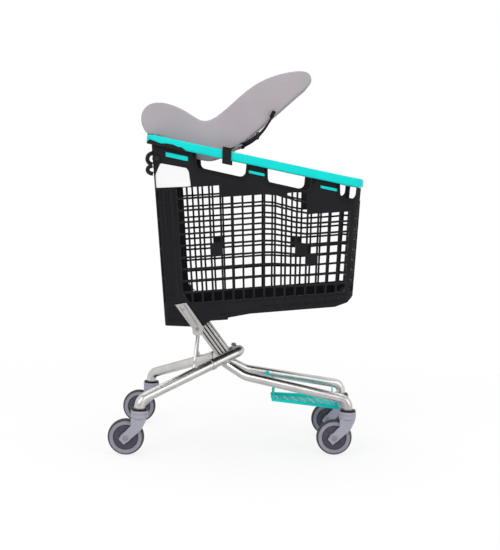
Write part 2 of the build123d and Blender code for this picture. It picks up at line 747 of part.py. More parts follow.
def lower_tray():
    tray = tray_solid(0) - tray_solid(-TRAY_WALL)
    cuts = []
    for index in range(TRAY_SLOTS):
        share = (index + 0.8) / (TRAY_SLOTS + 0.6)
        x = TRAY_X[0] + (TRAY_X[1] - TRAY_X[0]) * share
        half = TRAY_HALF[0] + (TRAY_HALF[1] - TRAY_HALF[0]) * share
        slot = Rot(0, 0, TRAY_SLOT_TURN) * Box(TRAY_SLOT_W, 1.7 * half, 4 * TRAY_DEPTH)
        cuts.append(Pos(x, 0, TRAY_Z[0]) * slot)
    return tray - cuts


def tray_wires(legs):
    """Wire hooks from the front legs to the tray's corners."""
    wires = []
    for x, drop in ((TRAY_X[0] + WIRE_R + TRAY_WALL, 6), (TRAY_X[1] - WIRE_R - TRAY_WALL - 3, 6)):
        share = (x - TRAY_X[0]) / (TRAY_X[1] - TRAY_X[0])
        half = TRAY_HALF[0] + share * (TRAY_HALF[1] - TRAY_HALF[0])
        low = TRAY_Z[0] + share * (TRAY_Z[1] - TRAY_Z[0])
        leg_y, leg_z = front_leg_at(x)
        y = half + WIRE_R + SOFT_GAP
        wire = bent_rod([(x, y, low + drop), (x, y, low + TRAY_DEPTH + 8), (x, leg_y, leg_z)], 5, WIRE_R)
        wires += both_sides(wire - legs)
    return wires


def front_leg_at(x):
    knee = FRONT_LEG_KNEE
    share = (x - knee[0]) / (FRONT_X - knee[0])
    return knee[1] + share * (FRONT_TRACK / 2 - knee[1]), knee[2] + share * (FRONT_LEG_Z - knee[2])


def tray_peg(legs):
    leg_y, leg_z = front_leg_at(TRAY_X[0] - 16)
    return cyl_y(8, leg_y - FRONT_TUBE_R - 6, leg_y, TRAY_X[0] - 16, leg_z) - legs


def make_tray():
    legs = front_leg(FRONT_TUBE_R)
    save("lower_tray", lower_tray())
    save("tray_wires", *tray_wires(legs))
    save("tray_pegs", *both_sides(tray_peg(legs)))


# ---------------------------------------------------------------- infant seat
def seat_rest(x):
    return rim_top(x) + SOFT_GAP


def seat_outline():
    """Side outline: foot rest at the rear, hollow above the rim, head rest at the front."""
    rear0, rear1 = RIM_REAR + 2, RIM_REAR + RIM_W + 6
    start, end = (rear0, seat_rest(rear0)), (rear1, seat_rest(rear1))
    upper = Spline(*[(x, 0, z) for x, z in (start,) + SEAT_TOP])
    back = Line((SEAT_TOP[-1][0], 0, SEAT_TOP[-1][1]), (SEAT_UNDER[0][0], 0, SEAT_UNDER[0][1]))
    under = Spline(*[(x, 0, z) for x, z in SEAT_UNDER + (end,)])
    rest = Line((end[0], 0, end[1]), (start[0], 0, start[1]))
    return make_face([upper, back, under, rest])


SEAT_TOP = (
    (-351, 1128), (-350, 1168), (-331, 1192), (-291, 1202), (-240, 1192), (-188, 1167), (-134, 1146),
    (-106, 1157), (-66, 1189), (52, 1288), (112, 1313), (179, 1326), (212, 1318), (220, 1296), (206, 1275),
)
SEAT_UNDER = ((-14, 1066), (-66, 1034), (-128, 1012), (-190, 1030))
SEAT_FLOOR = ((-318, 1150), (-280, 1118), (-200, 1078), (-130, 1046), (-92, 1054), (-50, 1084), (180, 1292))


def seat_shell():
    body = Pos(0, -SEAT_HALF, 0) * extrude(seat_outline(), 2 * SEAT_HALF, dir=(0, 1, 0))
    hollow = [(SEAT_FLOOR[0][0], BIG)] + list(SEAT_FLOOR) + [(SEAT_FLOOR[-1][0], BIG)]
    return body - slab(hollow, -SEAT_HALF + SEAT_WALL, SEAT_HALF - SEAT_WALL)


def seat_liner():
    inset = SOFT_GAP + 1
    floor = list(SEAT_FLOOR[1:-1])
    head = (SEAT_FLOOR[-1][0] - 24, SEAT_FLOOR[-1][1] - 24 * seat_slope())
    low = [(x, z + inset) for x, z in floor + [head]]
    high = [(x, z + inset + LINER_T) for x, z in floor + [head]]
    half = SEAT_HALF - SEAT_WALL - 4
    return slab(low + high[::-1], -half, half)


def seat_slope():
    (x0, z0), (x1, z1) = SEAT_FLOOR[-2:]
    return (z1 - z0) / (x1 - x0)


def back_frame(lift):
    """Plane on the seat back: x up the back, y to the left, z away from it."""
    x0, z0 = SEAT_FLOOR[-2]
    angle = atan2(seat_slope(), 1)
    normal = Vector(-sin(angle), 0, cos(angle))
    origin = Vector(x0, 0, z0) + normal * ((LINER_T + SOFT_GAP + 1) * cos(angle) + lift)
    return Plane(origin=origin, x_dir=(cos(angle), 0, sin(angle)), z_dir=normal)


def harness():
    """Two shoulder straps and a lap strap that meet at the buckle, and the crotch strap."""
    frame = back_frame(SOFT_GAP)
    reach = BUCKLE[0] / 2
    centre = BUCKLE_S
    straps = []
    for side in (-1, 1):
        start, end = Vector(centre + reach, side * 10), Vector(210, side * 52)
        across = Vector(-(end - start).Y, (end - start).X).normalized() * (STRAP_W / 2 - 4)
        corners = [start + across, end + across, end - across, start - across]
        straps.append(extrude(frame * make_face(Polyline(*corners, close=True)), STRAP_T))
        near, far = side * BUCKLE[1] / 2, side * (SEAT_HALF - SEAT_WALL - 14)
        lap = [(centre - 8, near), (centre + 12, near), (centre + 6, far), (centre - 14, far)]
        straps.append(extrude(frame * make_face(Polyline(*lap, close=True)), STRAP_T))
    crotch = Pos(centre - reach - 18, 0) * Rectangle(36, STRAP_W)
    straps.append(extrude(frame * crotch, STRAP_T))
    return [strap - buckle_block() for strap in straps]


def buckle_block():
    body = Pos(BUCKLE_S, 0) * RectangleRounded(BUCKLE[0], BUCKLE[1], 8)
    return extrude(back_frame(SOFT_GAP) * body, BUCKLE[2])


def buckle():
    well = Pos(BUCKLE_S, 0) * RectangleRounded(BUTTON[0] + 2 * SOFT_GAP, BUTTON[1] + 2 * SOFT_GAP, 3)
    return buckle_block() - extrude(back_frame(SOFT_GAP + BUCKLE[2] - 8) * well, 20)


def buckle_button():
    frame = back_frame(SOFT_GAP + BUCKLE[2] - 8 + BUTTON_TRAVEL + SOFT_GAP)
    face = Pos(BUCKLE_S, 0) * RectangleRounded(BUTTON[0], BUTTON[1], 2.7)
    return extrude(frame * face, 8)


def seat_bracket():
    """Hook over the side of the rim that carries the seat."""
    x0, x1 = BRACKET_X - BRACKET_W / 2, BRACKET_X + BRACKET_W / 2
    outer_y = RIM_HALF + SOFT_GAP
    over = SOFT_GAP + BRACKET_T

    def band(low, high, y0, y1):
        return slab([(x0, low(x0)), (x1, low(x1)), (x1, high(x1)), (x0, high(x0))], y0, y1)

    def rest(x):
        return rim_top(x) + SOFT_GAP

    plate = band(rest, lambda x: rim_top(x) + over, SEAT_HALF, outer_y + BRACKET_T)
    side = outer_y, outer_y + BRACKET_T
    leg = band(lambda x: rim_bottom(x) - BRACKET_DROP, lambda x: rim_top(x) + over, *side)
    ear = band(rest, lambda x: rim_top(x) + BRACKET_EAR, SEAT_HALF, SEAT_HALF + BRACKET_T)
    return plate + leg + ear


TIE_ROUTE = ((94, 1181), (76, 1149), (55, 1123), (30, 1098), (-12, 1072), (-46, 1058))


def tie_strap():
    """Side strap from the seat back to the hook, slack below the seat."""
    route = list(TIE_ROUTE)
    low = route[-1]
    route[-1] = (low[0], rim_top(low[0]) + SOFT_GAP + BRACKET_T + STRAP_T / 2)
    above = [(x - 0.7 * STRAP_T, z + 0.7 * STRAP_T) for x, z in route]
    lower = Spline(*[(x, 0, z) for x, z in route])
    upper = Spline(*[(x, 0, z) for x, z in above[::-1]])
    face = make_face([lower, Line(lower @ 1, upper @ 0), upper, Line(upper @ 1, lower @ 0)])
    return Pos(0, SEAT_HALF + 6, 0) * extrude(face, 10, dir=(0, 1, 0))


def make_seat():
    save("seat_shell", seat_shell())
    save("seat_liner", seat_liner())
    save("harness_straps", *harness())
    save("harness_buckle", buckle())
    save("buckle_button", buckle_button())
    save("seat_brackets", *both_sides(seat_bracket()))
    save("tie_straps", *both_sides(tie_strap()))


def main():
    os.makedirs("parts", exist_ok=True)
    make_castors()
    make_chassis()
    make_basket()
    save("rear_gate", rear_gate())
    save("gate_pins", *both_sides(gate_pin()))
    make_tray()
    make_seat()


main()
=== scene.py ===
import json
from math import cos, pi, radians, sin

import bmesh
import bpy
from mathutils import Matrix, Vector, noise


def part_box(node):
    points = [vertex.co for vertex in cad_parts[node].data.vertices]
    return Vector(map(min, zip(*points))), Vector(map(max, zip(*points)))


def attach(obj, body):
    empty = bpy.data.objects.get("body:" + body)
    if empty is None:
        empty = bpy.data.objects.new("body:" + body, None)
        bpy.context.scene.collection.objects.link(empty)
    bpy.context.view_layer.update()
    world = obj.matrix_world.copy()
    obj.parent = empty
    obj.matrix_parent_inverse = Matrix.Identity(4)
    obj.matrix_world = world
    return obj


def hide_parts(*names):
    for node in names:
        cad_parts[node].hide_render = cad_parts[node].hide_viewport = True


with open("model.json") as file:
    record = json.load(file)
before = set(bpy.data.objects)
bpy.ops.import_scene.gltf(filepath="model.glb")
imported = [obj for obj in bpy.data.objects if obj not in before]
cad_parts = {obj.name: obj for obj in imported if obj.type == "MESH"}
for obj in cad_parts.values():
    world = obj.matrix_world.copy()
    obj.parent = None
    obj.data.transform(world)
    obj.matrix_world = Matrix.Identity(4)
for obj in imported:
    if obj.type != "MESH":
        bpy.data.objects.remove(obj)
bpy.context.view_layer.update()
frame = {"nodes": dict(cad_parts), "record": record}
NODES = frame["nodes"]
RECORD = frame["record"]

# Camera, in metres and degrees
CAMERA_AT = (0.0, -4.1666, 0.9941)
CAMERA_PITCH = 5.281
CAMERA_ROLL = 2.245
CAMERA_YAW = 0.537
LENS = 76.0
SENSOR = 36.0

# Colours, linear
TEAL = (0.0018, 0.62, 0.585)
BLACK = (0.0078, 0.0068, 0.0092)
# Painted highlight colour for the edges of black plastic
BLACK_EDGE_HIGHLIGHT = (0.05, 0.047, 0.054)
SEAT_GREY = (0.37, 0.335, 0.362)
LINER_GREY = (0.16, 0.15, 0.165)
FORK_GREY = (0.33, 0.325, 0.39)
RING_GREY = (0.25, 0.245, 0.29)
COVER_GREY = (0.06, 0.058, 0.078)
TYRE_GREY = (0.05, 0.05, 0.054)
STEEL = (0.6, 0.585, 0.575)
WHITE = (0.8, 0.8, 0.8)
WEBBING = (0.012, 0.012, 0.014)
RED = (0.38, 0.012, 0.012)
GRIT = (0.03, 0.028, 0.026)

# Places on the object, in millimetres: the pieces below follow the same lines as the CAD
BASKET_LEVELS = (430.0, 1080.0)
BASKET_HALF = (191.5, 218.5)
RIM_MIDDLE, RIM_SLOPE, RIM_H, RIM_W = 1023.0, -0.172, 30.0, 36.0
RIM_ENDS = (-330.0, 412.0)
RIM_HALF = 245.0
RIM_REAR_R, RIM_FRONT_R = 30.0, 58.0
TUB_TOP, TUB_SLOPE = 537.0, 0.11
GRID_X, GRID_PITCH, GRID_COLUMNS = -190.0, 34.9, 16
HAND_HOLES = ((-162.0, 12.0, 50.0), (82.0, 234.0, 48.0), (330.0, 388.0, 45.0))
SEAT_HALF = 185.0
LINER_T = 15.0
STRAP_GAP = 1.3
BACK_FOOT, BACK_HEAD = (-50.0, 1084.0), (180.0, 1292.0)
BUCKLE_UP = 66.0
TIE_ROUTE = ((94, 1181), (84, 1153), (66, 1126), (44, 1103), (18, 1083), (-8, 1067), (-42, 1055))
TIE_ADJUSTER = ((47, 1107), (26, 1089), (-6, 1070))
MAST_TOP, MAST_FOOT = (-125.0, 0.0, 425.0), (-30.0, 0.0, 303.0)
MAST_W, MAST_D = 60.0, 50.0
ARM_LINE = ((-191.0, 511.0), (-142.0, 441.0))
WALL_END = 366.0
QUILT_PITCH, QUILT_SIDE, QUILT_DEPTH = 58.0, 112.0, 0.0035
PUFF_LIMIT = 0.0045
COLLAR_SHARE, COLLAR_HALF = 0.34, 0.0065
YOKE_APEX, LEG_CORNER = (42.0, 0.0, 347.0), (-322.0, 258.5, 191.0)
CASTORS = ("rear_left", "rear_right", "front_left", "front_right")


# ------------------------------------------------------------------ materials
def new_material(name):
    material = bpy.data.materials.new(name)
    material.use_nodes = True
    nodes = material.node_tree.nodes
    return material, nodes, material.node_tree.links, nodes["Principled BSDF"]


def object_coords(nodes, links, scale=(1, 1, 1)):
    coords = nodes.new("ShaderNodeTexCoord")
    mapping = nodes.new("ShaderNodeMapping")
    mapping.inputs["Scale"].default_value = scale
    links.new(coords.outputs["Object"], mapping.inputs["Vector"])
    return mapping.outputs["Vector"]


def noise_texture(nodes, links, vector, scale, detail=3.0):
    texture = nodes.new("ShaderNodeTexNoise")
    texture.inputs["Scale"].default_value = scale
    texture.inputs["Detail"].default_value = detail
    links.new(vector, texture.inputs["Vector"])
    return texture.outputs["Fac"]


def ramp(nodes, links, factor, stops):
    node = nodes.new("ShaderNodeValToRGB")
    elements = node.color_ramp.elements
    while len(elements) < len(stops):
        elements.new(0.5)
    for element, (place, colour) in zip(elements, stops):
        element.position = place
        element.color = (*colour, 1.0)
    links.new(factor, node.inputs["Fac"])
    return node.outputs["Color"]


def shaded(colour, factor):
    return tuple(min(1.0, channel * factor) for channel in colour)


def bump(nodes, links, height, strength, distance, normal=None):
    node = nodes.new("ShaderNodeBump")
    node.inputs["Strength"].default_value = strength
    node.inputs["Distance"].default_value = distance
    links.new(height, node.inputs["Height"])
    if normal is not None:
        links.new(normal, node.inputs["Normal"])
    return node.outputs["Normal"]


def spread(nodes, links, factor, low, high, start=0.0, end=1.0):
    node = nodes.new("ShaderNodeMapRange")
    node.inputs["From Min"].default_value = start
    node.inputs["From Max"].default_value = end
    node.inputs["To Min"].default_value = low
    node.inputs["To Max"].default_value = high
    links.new(factor, node.inputs["Value"])
    return node.outputs["Result"]


def mixed(nodes, links, factor, first, second):
    node = nodes.new("ShaderNodeMix")
    node.data_type = "RGBA"
    links.new(factor, node.inputs["Factor"])
    for socket, value in ((node.inputs[6], first), (node.inputs[7], second)):
        if isinstance(value, tuple):
            socket.default_value = (*value, 1.0)
        else:
            links.new(value, socket)
    return node.outputs[2]


def soft_edges(nodes, links, radius):
    """Rounded-edge normal, and a mask that is 1 where an edge is."""
    rounded = nodes.new("ShaderNodeBevel")
    rounded.samples = 4
    rounded.inputs["Radius"].default_value = radius
    flat = nodes.new("ShaderNodeNewGeometry")
    dot = nodes.new("ShaderNodeVectorMath")
    dot.operation = "DOT_PRODUCT"
    links.new(rounded.outputs["Normal"], dot.inputs[0])
    links.new(flat.outputs["Normal"], dot.inputs[1])
    return rounded.outputs["Normal"], spread(nodes, links, dot.outputs["Value"], 1.0, 0.0, 0.75, 0.99)


def moulded(name, colour, roughness, grain=900.0, depth=0.00012, contrast=0.14, coat=0.0,
            edge=None, edge_r=0.0008, specular=0.3, dust=0.0):
    """Injection-moulded plastic: uneven tone, fine grain, uneven gloss, painted highlight in patches along
    the edges (painted shade where the edge colour is darker), dust.
    """
    material, nodes, links, shader = new_material(name)
    vector = object_coords(nodes, links)
    tone = noise_texture(nodes, links, vector, 9.0, 4.0)
    dark, light = shaded(colour, 1 - contrast), shaded(colour, 1 + contrast)
    surface = ramp(nodes, links, tone, [(0.3, dark), (0.7, light)])
    normal, mask = soft_edges(nodes, links, edge_r)
    patchy = noise_texture(nodes, links, vector, 55.0, 5.0)
    # Painted highlight: the edge mask, broken into patches by noise, mixes the edge colour into the surface
    # along the edges (painted shade on the white plate, whose edge colour is darker).
    painted_edge_light = nodes.new("ShaderNodeMath")
    painted_edge_light.operation = "MULTIPLY"
    links.new(mask, painted_edge_light.inputs[0])
    links.new(spread(nodes, links, patchy, 0.25, 1.0, 0.35, 0.65), painted_edge_light.inputs[1])
    surface = mixed(nodes, links, painted_edge_light.outputs[0], surface, edge or shaded(colour, 1.18))
    if dust:
        specks = noise_texture(nodes, links, vector, 210.0, 6.0)
        surface = mixed(nodes, links, spread(nodes, links, specks, 0.0, dust, 0.58, 0.75), surface, GRIT)
    links.new(surface, shader.inputs["Base Color"])
    gloss = noise_texture(nodes, links, vector, 34.0, 5.0)
    links.new(spread(nodes, links, gloss, roughness - 0.07, roughness + 0.09), shader.inputs["Roughness"])
    fine = noise_texture(nodes, links, vector, grain, 2.0)
    links.new(bump(nodes, links, fine, 0.5, depth, normal), shader.inputs["Normal"])
    shader.inputs["Specular IOR Level"].default_value = specular
    shader.inputs["Coat Weight"].default_value = coat
    shader.inputs["Coat Roughness"].default_value = 0.2
    return material


def bright_tube(name, colour, low, high):
    """Zinc-plated, lacquered steel with cloudy patches, small stains and painted shade darkening its edges
    and grooves.
    """
    material, nodes, links, shader = new_material(name)
    vector = object_coords(nodes, links)
    clouds = noise_texture(nodes, links, vector, 14.0, 4.0)
    surface = ramp(nodes, links, clouds, [(0.3, shaded(colour, 0.88)), (0.7, shaded(colour, 1.06))])
    stains = noise_texture(nodes, links, vector, 38.0, 3.0)
    stain = spread(nodes, links, stains, 0.0, 0.25, 0.6, 0.75)
    surface = mixed(nodes, links, stain, surface, shaded(colour, 0.6))
    normal, mask = soft_edges(nodes, links, 0.0012)
    # Painted shade: the edge mask darkens edges and grooves to half the colour, in place of shadow.
    surface = mixed(nodes, links, mask, surface, shaded(colour, 0.5))
    links.new(surface, shader.inputs["Base Color"])
    fine = noise_texture(nodes, links, vector, 90.0, 2.0)
    links.new(spread(nodes, links, fine, low, high), shader.inputs["Roughness"])
    links.new(bump(nodes, links, clouds, 0.15, 0.0002, normal), shader.inputs["Normal"])
    shader.inputs["Metallic"].default_value = 1.0
    shader.inputs["Coat Weight"].default_value = 0.1
    shader.inputs["Coat Roughness"].default_value = 0.12
    return material


def woven(name, colour, pitch, contrast=0.35, depth=0.0004):
    """Plain weave from two crossed wave patterns, with mottled yarn and a little sheen."""
    material, nodes, links, shader = new_material(name)
    vector = object_coords(nodes, links)
    heights = []
    for direction in ("X", "Y"):
        wave = nodes.new("ShaderNodeTexWave")
        wave.bands_direction = direction
        wave.inputs["Scale"].default_value = 1 / pitch / 6.2832 * 2
        wave.inputs["Distortion"].default_value = 0.6
        wave.inputs["Detail"].default_value = 1.0
        links.new(vector, wave.inputs["Vector"])
        heights.append(wave.outputs["Fac"])
    weave = nodes.new("ShaderNodeMath")
    weave.operation = "MULTIPLY"
    links.new(heights[0], weave.inputs[0])
    links.new(heights[1], weave.inputs[1])
    mottle = noise_texture(nodes, links, vector, 60.0, 4.0)
    tone = nodes.new("ShaderNodeMath")
    tone.operation = "MULTIPLY_ADD"
    tone.inputs[1].default_value = 0.6
    links.new(weave.outputs[0], tone.inputs[0])
    links.new(spread(nodes, links, mottle, 0.0, 0.4), tone.inputs[2])
    dark, light = shaded(colour, 1 - contrast), shaded(colour, 1 + contrast)
    links.new(ramp(nodes, links, tone.outputs[0], [(0.1, dark), (0.8, light)]), shader.inputs["Base Color"])
    links.new(bump(nodes, links, weave.outputs[0], 0.8, depth), shader.inputs["Normal"])
    shader.inputs["Roughness"].default_value = 0.85
    shader.inputs["Specular IOR Level"].default_value = 0.2
    shader.inputs["Sheen Weight"].default_value = 0.15
    return material


# The edge colours below are painted highlights along the edges, lighter than the body colour; the white
# plate's darker edge colour is painted shade.
MATERIALS = {
    "tyre": moulded("tyre", TYRE_GREY, 0.66, 500, 0.0002, 0.2, edge=(0.09, 0.09, 0.09), dust=0.5),
    "wheel_ring": moulded("wheel_ring", RING_GREY, 0.42, dust=0.25),
    "wheel_cover": moulded("wheel_cover", COVER_GREY, 0.45, edge=(0.12, 0.118, 0.14), dust=0.3),
    "fork_grey": moulded("fork_grey", FORK_GREY, 0.4, 700, 0.0001, 0.07, 0.1, edge_r=0.0015, dust=0.1),
    "steel": bright_tube("steel", (0.32, 0.32, 0.33), 0.35, 0.5),
    "tube_steel": bright_tube("tube_steel", STEEL, 0.26, 0.36),
    "black_plastic": moulded("black_plastic", BLACK, 0.42, 800, 0.00014, 0.25, edge=BLACK_EDGE_HIGHLIGHT,
                             edge_r=0.0012, specular=0.17),
    "teal_plastic": moulded("teal_plastic", TEAL, 0.4, 600, 0.00006, 0.04, edge=(0.05, 0.7, 0.66),
                            edge_r=0.002, specular=0.15),
    "white_plate": moulded("white_plate", WHITE, 0.35, 500, 0.00004, 0.02, edge=(0.6, 0.6, 0.6)),
    "seat_foam": moulded("seat_foam", SEAT_GREY, 0.6, 420, 0.00025, 0.05, edge_r=0.003, specular=0.25),
    "seat_fabric": woven("seat_fabric", LINER_GREY, 0.0022),
    "webbing": woven("webbing", WEBBING, 0.0016, 0.5),
    "buckle_red": moulded("buckle_red", RED, 0.3, coat=0.3),
}
# Dark material for the strips painted as shade in the mast's grooves
GROOVE_SHADE = bright_tube("groove_shadow", (0.1, 0.098, 0.1), 0.4, 0.5)
DARK_PIN = moulded("dark_pin", BLACK, 0.35)
STITCH = woven("stitch_thread", (0.3, 0.29, 0.31), 0.0008)


def paint_nodes():
    for part in RECORD["subparts"]:
        piece = NODES[part["node"]]
        piece.data.materials.clear()
        dark = part["node"].startswith("gate_pin") or part["node"].startswith("hinge")
        piece.data.materials.append(DARK_PIN if dark else MATERIALS[part["material_slot"]])


# ------------------------------------------------------------------ mesh helpers
def mm(*values):
    return Vector(values) / 1000


def half_at(z):
    """Half width of the basket's outer face at a height, in millimetres."""
    low, high = BASKET_LEVELS
    return BASKET_HALF[0] + (z - low) / (high - low) * (BASKET_HALF[1] - BASKET_HALF[0])


def rim_bottom(x):
    return RIM_MIDDLE + RIM_SLOPE * x - RIM_H / 2


def tub_top(x):
    return TUB_TOP + TUB_SLOPE * x


def rear_at(z):
    low, high = BASKET_LEVELS
    return -248.0 + (z - low) / (high - low) * -68.0


def add_piece(name, verts, faces, slot, body="cart", material=None, smooth=True):
    mesh = bpy.data.meshes.new(name)
    mesh.from_pydata([tuple(v) for v in verts], [], faces)
    mesh.validate()
    shape = bmesh.new()
    shape.from_mesh(mesh)
    bmesh.ops.recalc_face_normals(shape, faces=shape.faces)
    shape.to_mesh(mesh)
    shape.free()
    for face in mesh.polygons:
        face.use_smooth = smooth
    piece = bpy.data.objects.new(name, mesh)
    bpy.context.collection.objects.link(piece)
    mesh.materials.append(material or MATERIALS[slot])
    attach(piece, body)
    return piece


def sweep(path, section, up, closed=False):
    """Verts and faces of a section carried along a path; the section is (side, up) pairs."""
    verts, faces = [], []
    count, ring = len(path), len(section)
    for index, point in enumerate(path):
        before = path[index - 1] if closed or index else point
        after = path[(index + 1) % count] if closed or index < count - 1 else point
        ahead = (after - before).normalized()
        side = up.cross(ahead).normalized()
        lift = ahead.cross(side)
        for across, along in section:
            verts.append(point + side * across + lift * along)
    for index in range(count if closed else count - 1):
        nxt = (index + 1) % count
        for turn in range(ring):
            follow = (turn + 1) % ring
            faces.append((index * ring + turn, index * ring + follow, nxt * ring + follow, nxt * ring + turn))
    if not closed:
        faces.append(tuple(range(ring)))
        faces.append(tuple((count - 1) * ring + turn for turn in range(ring)))
    return verts, faces


def merged(parts):
    verts, faces = [], []
    for more_verts, more_faces in parts:
        shift = len(verts)
        verts += more_verts
        faces += [tuple(index + shift for index in face) for face in more_faces]
    return verts, faces


def disc(radius, steps=10):
    turns = [2 * pi * i / steps for i in range(steps)]
    return [(radius * cos(a), radius * sin(a)) for a in turns]


def soft_rectangle(width, height, r, steps=4):
    points = []
    for corner, (sx, sy) in enumerate(((1, 1), (-1, 1), (-1, -1), (1, -1))):
        for step in range(steps + 1):
            angle = pi / 2 * (corner + step / steps)
            points.append((sx * (width / 2 - r) + r * cos(angle), sy * (height / 2 - r) + r * sin(angle)))
    return points


def rounded(points, radius, steps=6, closed=False):
    """Polyline with each corner turned into a short curve."""
    out = []
    count = len(points)
    for index, point in enumerate(points):
        if not closed and index in (0, count - 1):
            out.append(point)
            continue
        back, ahead = points[index - 1] - point, points[(index + 1) % count] - point
        reach = min(radius, back.length * 0.48, ahead.length * 0.48)
        start, end = point + back.normalized() * reach, point + ahead.normalized() * reach
        for step in range(steps + 1):
            share = step / steps
            out.append(start.lerp(point, share).lerp(point.lerp(end, share), share))
    return out


def on_wall(x, z, side, lift=0.0):
    return mm(x, side * (half_at(z) + lift), z)


def wall_beads(name, lines, width, height, radius=14.0, lift=0.0):
    """Raised ribs on both side walls, each along a line given in X and Z."""
    parts = []
    section = soft_rectangle(width / 1000, height * 2 / 1000, min(width, height) * 0.45 / 1000, 2)
    for line in lines:
        for side in (1, -1):
            points = rounded([on_wall(x, z, side, lift) for x, z in line], radius / 1000)
            parts.append(sweep(points, section, Vector((0, 1, 0))))
    return add_piece(name, *merged(parts), "black_plastic")


# ------------------------------------------------------------------ basket
def rim():
    """Handle rim: a rounded band on a slope, swept round its plan."""
    x0, x1 = RIM_ENDS[0] + RIM_W / 2, RIM_ENDS[1] - RIM_W / 2
    half = RIM_HALF - RIM_W / 2
    path = []
    corners = ((x0, -half, RIM_REAR_R), (x1, -half, RIM_FRONT_R),
               (x1, half, RIM_FRONT_R), (x0, half, RIM_REAR_R))
    starts = (pi, -pi / 2, 0.0, pi / 2)
    for (x, y, r), start in zip(corners, starts):
        r -= RIM_W / 2
        cx, cy = x - r * (1 if x > 0 else -1), y - r * (1 if y > 0 else -1)
        for step in range(9):
            angle = start + pi / 2 * step / 8
            px, py = cx + r * cos(angle), cy + r * sin(angle)
            path.append(mm(px, py, RIM_MIDDLE + RIM_SLOPE * px))
    dense = []
    for index, point in enumerate(path):
        after = path[(index + 1) % len(path)]
        pieces = max(1, int((after - point).length / 0.03))
        dense += [point.lerp(after, step / pieces) for step in range(pieces)]
    section = soft_rectangle(RIM_W / 1000, RIM_H / 1000, 0.0085, 5)
    piece = add_piece("rim_band", *sweep(dense, section, Vector((0, 0, 1)), closed=True), "teal_plastic")
    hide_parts("rim")
    seam = [Vector((p.x, p.y * (1 + 0.0001), p.z)) for p in dense]
    bead = ((1.008, 4), (1.03, 5), (1.03, 6), (1.008, 7))
    groove = [(RIM_W / 2000 * share, lift / 1000) for share, lift in bead]
    add_piece("rim_seam", *sweep(seam, groove, Vector((0, 0, 1)), closed=True), "teal_plastic")


def rear_cover():
    """Black moulding with a wavy top that laps over the lower edge of the rim at the rear."""
    top = [(-327, 4), (-318, 13), (-300, 12), (-280, 8), (-262, 12), (-240, 13),
           (-222, 9), (-208, 10), (-196, 0)]
    parts = []
    for side in (1, -1):
        outer = side * (RIM_HALF + 1.2)
        inner = side * (RIM_HALF - 6)
        high = [(x, rim_bottom(x) + lift) for x, lift in top]
        low = [(x, rim_bottom(x) - 3) for x, lift in top]
        verts, faces = [], []
        for (hx, hz), (lx, lz) in zip(high, low):
            verts += [mm(lx, inner, lz), mm(lx, outer, lz), mm(hx, outer, hz - 1), mm(hx, inner, hz)]
        for index in range(len(top) - 1):
            for turn in range(4):
                follow = (turn + 1) % 4
                a, b = index * 4, (index + 1) * 4
                faces.append((a + turn, a + follow, b + follow, b + turn))
        last = (len(top) - 1) * 4
        faces += [(0, 1, 2, 3), (last, last + 1, last + 2, last + 3)]
        parts.append((verts, faces))
    piece = add_piece("rear_rim_covers", *merged(parts), "black_plastic", smooth=False)
    bevel = piece.modifiers.new("soft", "BEVEL")
    bevel.width = 0.0012
    bevel.segments = 2


def hand_hole_lips():
    lines = []
    for x0, x1, depth in HAND_HOLES:
        out = 7.0
        low0, low1 = rim_bottom(x0) - depth - out, rim_bottom(x1) - depth - out
        x_end = min(x1, WALL_END)
        if x1 > x_end:
            lines.append([(x0 - out, rim_bottom(x0) - 2), (x0 - out + 4, low0), (x_end, low1)])
        else:
            ends = (x0 - out, rim_bottom(x0) - 2), (x1 + out, rim_bottom(x1) - 2)
            lines.append([ends[0], (x0 - out + 4, low0), (x1 + out - 4, low1), ends[1]])
    wall_beads("hand_hole_lips", lines, 4.0, 4.0, 24.0)


def corner_ribs():
    """Borders of the solid rear corner and of the field of holes."""
    top, low = 905.0, tub_top(GRID_X) + 14
    lean = -0.094
    right = GRID_X - 7
    at = lambda x, z: (x + lean * (z - low), z)
    turn, end = GRID_X + 24, WALL_END
    field = [at(right, 912), at(right, low + 48), (turn, tub_top(turn) - 3), (end, tub_top(end) - 3)]
    wall_beads("field_border", [field], 3.0, 2.4, 30.0)
    rear = [(rear_at(top) + 12, top), (rear_at(low) + 12, low), (right - 20, low), at(right - 20, top)]
    inner = [(x + dx, z) for (x, z), dx in zip(rear, (9, 9, -9, -9))]
    raised = [(x, z + (0 if i in (0, 3) else 9)) for i, (x, z) in enumerate(inner)]
    wall_beads("corner_borders", [rear, raised], 2.6, 2.2, 10.0)
    stretches = ((520, 600), (610, 700), (710, 800), (810, 900))
    spine = [[(rear_at(z) + 4, z) for z in stretch] for stretch in stretches]
    wall_beads("corner_spine", spine, 3.0, 2.0)


def tub_relief():
    """Shallow cell pattern just below the holes, two long ribs and a lower flange on the tub."""
    lines = []
    for column in range(8, GRID_COLUMNS + 1):
        x = GRID_X + GRID_PITCH * column
        if x < WALL_END:
            lines.append([(x, tub_top(x) - 4), (x - 0.5, tub_top(x) - 24)])
    lines.append([(GRID_X + GRID_PITCH * 8, tub_top(90) - 26), (WALL_END, tub_top(WALL_END) - 26)])
    wall_beads("tub_relief", lines, 2.2, 1.6)
    wall_beads("tub_ribs", [[(-232, 462), (-150, 456)], [(-60, 486), (330, 546)]], 2.6, 1.8)
    panel = [(-236, 505), (-236, 456), (-212, 450), (-222, 508)]
    wall_beads("tub_corner_panel", [panel], 2.4, 1.8, 8.0)


